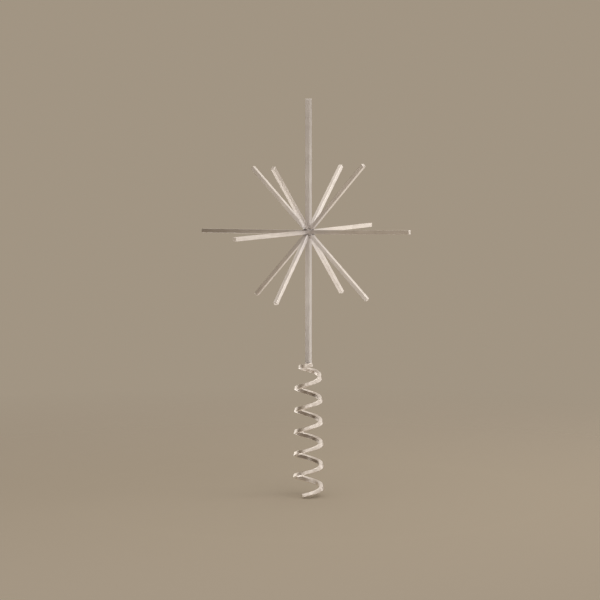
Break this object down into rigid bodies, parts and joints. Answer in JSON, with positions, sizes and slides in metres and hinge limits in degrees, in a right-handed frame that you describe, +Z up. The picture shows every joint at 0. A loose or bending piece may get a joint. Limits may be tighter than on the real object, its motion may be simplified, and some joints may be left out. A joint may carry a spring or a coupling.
{
  "type": "tree topper star",
  "caption": "Open starburst of square metal bars welded round one centre post, on a spiral wire socket that slips over the leader shoot of a decorated tree.",
  "frame": {"origin": "on the spiral's axis at its open mouth, level with the lowest point of the wire", "axes": "+Z up along the post; level rays along X and Y; diagonal rays in the XZ and YZ planes"},
  "size_m": [0.2495, 0.2545, 0.4046],
  "materials": {
    "plated_bar": "satin nickel plate over drawn square steel bar, warm silver",
    "plated_wire": "satin nickel plate over square steel wire, warm silver",
    "weld_metal": "weld bead under the same plate, slightly duller"
  },
  "bodies": {
    "root": {"centre_post": "plated_bar", "level_ray_left": "plated_bar", "level_ray_right": "plated_bar", "level_ray_front": "plated_bar", "level_ray_back": "plated_bar", "diagonal_ray_upper_left": "plated_bar", "diagonal_ray_upper_right": "plated_bar", "diagonal_ray_upper_front": "plated_bar", "diagonal_ray_upper_back": "plated_bar", "diagonal_ray_lower_left": "plated_bar", "diagonal_ray_lower_right": "plated_bar", "diagonal_ray_lower_front": "plated_bar", "diagonal_ray_lower_back": "plated_bar", "spiral_socket": "plated_wire", "level_welds": "weld_metal", "diagonal_welds": "weld_metal", "spiral_weld": "weld_metal"}
  },
  "joints": []
}
